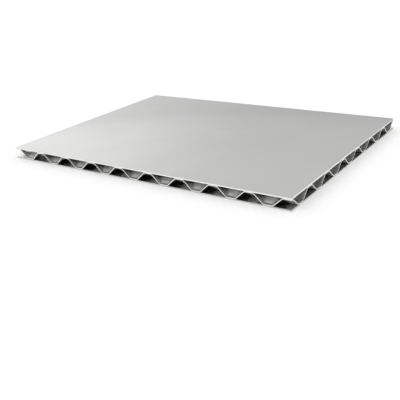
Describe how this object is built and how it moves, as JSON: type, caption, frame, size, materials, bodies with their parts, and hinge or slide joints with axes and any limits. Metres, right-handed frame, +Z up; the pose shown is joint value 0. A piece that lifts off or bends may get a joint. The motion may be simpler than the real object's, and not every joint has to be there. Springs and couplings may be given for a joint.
{
  "type": "aluminium corrugated core panel",
  "caption": "Flat rectangular sandwich panel of thin aluminium face sheets bonded to a pressed, three-dimensionally corrugated aluminium core that shows at every edge.",
  "frame": {"origin": "middle of the underside of the bottom face sheet", "axes": "+X along the panel's width, which is its longest side, +Y along its depth, +Z up through its thickness"},
  "size_m": [0.14, 0.105, 0.005],
  "materials": {
    "face_sheet": "fine satin mill finish, cut edges brighter",
    "core_sheet": "pressed mill finish, bright cut edge",
    "bond_film": "thin clear adhesive film, the face sheet's metal shows through it"
  },
  "bodies": {
    "root": {"bottom_face_sheet": "face_sheet", "lower_bond_film": "bond_film", "core_sheet": "core_sheet", "upper_bond_film": "bond_film", "top_face_sheet": "face_sheet"}
  },
  "joints": []
}
